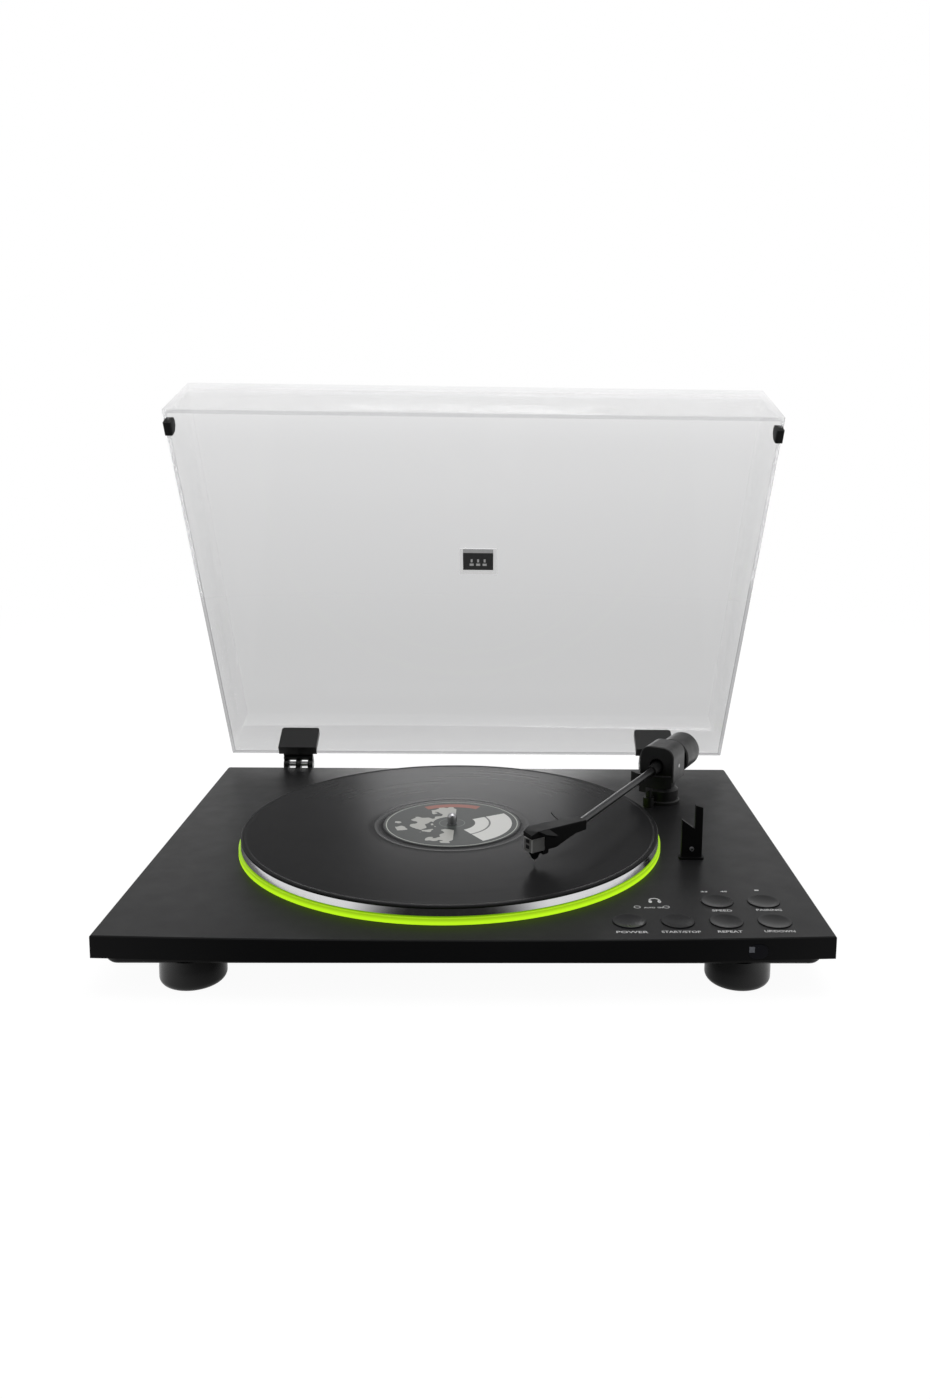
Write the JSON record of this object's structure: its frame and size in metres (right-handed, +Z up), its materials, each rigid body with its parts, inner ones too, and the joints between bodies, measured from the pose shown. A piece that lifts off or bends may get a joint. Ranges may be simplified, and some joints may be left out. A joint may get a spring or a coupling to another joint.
{
  "type": "turntable record player",
  "caption": "Low black record player with a lit ring round the platter, a straight tonearm, round buttons and a clear hinged dust cover.",
  "frame": {"origin": "middle of the footprint with the dust cover open, at the height of the table", "axes": "+X to the player's right, +Y to its back, +Z up"},
  "size_m": [0.442, 0.4072, 0.3726],
  "materials": {
    "charcoal_case": "fine satin",
    "black_plastic": "satin",
    "satin_black": "satin",
    "hinge_plastic": "satin",
    "hinge_steel": "plain",
    "gloss_foot": "semi-gloss",
    "rubber": "matte",
    "platter_metal": "satin, polished rim",
    "hub_plastic": "moulded",
    "bearing_brass": "turned",
    "vinyl": "glossy, grooved",
    "label_paper": "printed",
    "glow_ring": "translucent, lit",
    "circuit_board": "lacquered",
    "dark_window": "gloss",
    "arm_metal": "dark anodised satin",
    "smoked_clear": "translucent",
    "clear_cover": "clear, polished",
    "badge": "printed",
    "socket_metal": "plated",
    "socket_plastic": "moulded"
  },
  "bodies": {
    "housing": {"arm_pedestal": "black_plastic", "arm_rest": "black_plastic", "base_plate": "black_plastic", "base_screws": "hinge_steel", "bearing_housing": "bearing_brass", "button_board": "circuit_board", "drive_belt": "rubber", "drive_motor": "black_plastic", "foot_front_left": "gloss_foot", "foot_front_right": "gloss_foot", "foot_pads": "rubber", "foot_rear_left": "gloss_foot", "foot_rear_right": "gloss_foot", "front_window": "dark_window", "hinge_bracket_left": "hinge_plastic", "hinge_bracket_right": "hinge_plastic", "hinge_pins": "hinge_steel", "hinge_screws": "hinge_steel", "hinge_sleeves": "hinge_steel", "light_board": "circuit_board", "light_ring": "glow_ring", "main_board": "circuit_board", "plinth_shell": "charcoal_case", "power_inlet": "socket_plastic", "signal_sockets": "socket_metal"},
    "platter": {"spindle": "hinge_steel", "drive_hub": "hub_plastic", "platter": "platter_metal", "platter_mat": "rubber", "vinyl_record": "vinyl", "record_label": "label_paper"},
    "motor_pulley": {"motor_pulley": "hinge_steel"},
    "arm_yoke": {"pivot_shaft": "hinge_steel", "gimbal_housing": "satin_black", "gimbal_pins": "hinge_steel"},
    "tonearm": {"pivot_block": "black_plastic", "arm_tube": "arm_metal", "arm_collar": "black_plastic", "headshell": "black_plastic", "cartridge": "black_plastic", "stylus": "smoked_clear", "finger_lift": "black_plastic"},
    "counterweight": {"counterweight": "satin_black", "weight_dial": "satin_black"},
    "cue_lifter": {"cue_lifter": "black_plastic"},
    "lid": {"lid_top_panel": "clear_cover", "lid_front_panel": "clear_cover", "lid_rear_panel": "clear_cover", "lid_left_panel": "clear_cover", "lid_right_panel": "clear_cover", "lid_bumpers": "rubber", "lid_badge": "badge", "hinge_clip_left": "hinge_plastic", "hinge_clip_right": "hinge_plastic"},
    "button_power": {"button_power": "satin_black"},
    "button_start_stop": {"button_start_stop": "satin_black"},
    "button_repeat": {"button_repeat": "satin_black"},
    "button_up_down": {"button_up_down": "satin_black"},
    "button_speed": {"button_speed": "satin_black"},
    "button_pairing": {"button_pairing": "satin_black"}
  },
  "joints": [
    {"name": "platter_spin", "type": "hinge", "parent": "housing", "child": "platter", "pos_m": [-0.0154, -0.03324, 0.0497], "axis": [0, 0, -1], "continuous": true},
    {"name": "motor_spin", "type": "hinge", "parent": "housing", "child": "motor_pulley", "pos_m": [-0.08588, 0.0259, 0.0385], "axis": [0, 0, -1], "continuous": true},
    {"name": "arm_swing", "type": "hinge", "parent": "housing", "child": "arm_yoke", "pos_m": [0.152, 0.05626, 0.059], "axis": [0, 0, 1], "range_deg": [-10.5, 28.8]},
    {"name": "arm_lift", "type": "hinge", "parent": "arm_yoke", "child": "tonearm", "pos_m": [0.152, 0.05626, 0.07], "axis": [-0.8829, 0.4695, 0], "range_deg": [0, 6]},
    {"name": "weight_turn", "type": "hinge", "parent": "tonearm", "child": "counterweight", "pos_m": [0.152, 0.05626, 0.07], "axis": [-0.4695, -0.8829, 0], "continuous": true},
    {"name": "lifter_slide", "type": "slide", "parent": "housing", "child": "cue_lifter", "axis": [0, 0, 1], "range_m": [0, 0.00278]},
    {"name": "lid_hinge", "type": "hinge", "parent": "housing", "child": "lid", "pos_m": [0, 0.15466, 0.039], "axis": [1, 0, 0], "range_deg": [0, 60]},
    {"name": "button_power_press", "type": "slide", "parent": "housing", "child": "button_power", "axis": [0, 0, -1], "range_m": [0, 0.001], "stiffness_N_per_m": 300, "springref_m": -0.001},
    {"name": "button_start_stop_press", "type": "slide", "parent": "housing", "child": "button_start_stop", "axis": [0, 0, -1], "range_m": [0, 0.001], "stiffness_N_per_m": 300, "springref_m": -0.001},
    {"name": "button_repeat_press", "type": "slide", "parent": "housing", "child": "button_repeat", "axis": [0, 0, -1], "range_m": [0, 0.001], "stiffness_N_per_m": 300, "springref_m": -0.001},
    {"name": "button_up_down_press", "type": "slide", "parent": "housing", "child": "button_up_down", "axis": [0, 0, -1], "range_m": [0, 0.001], "stiffness_N_per_m": 300, "springref_m": -0.001},
    {"name": "button_speed_press", "type": "slide", "parent": "housing", "child": "button_speed", "axis": [0, 0, -1], "range_m": [0, 0.001], "stiffness_N_per_m": 300, "springref_m": -0.001},
    {"name": "button_pairing_press", "type": "slide", "parent": "housing", "child": "button_pairing", "axis": [0, 0, -1], "range_m": [0, 0.001], "stiffness_N_per_m": 300, "springref_m": -0.001}
  ],
  "couplings": [
    {"joint": "motor_spin", "follows": "platter_spin", "ratio": 12.222},
    {"joint": "lifter_slide", "follows": "arm_lift", "m_per_rad": 0.0265}
  ]
}
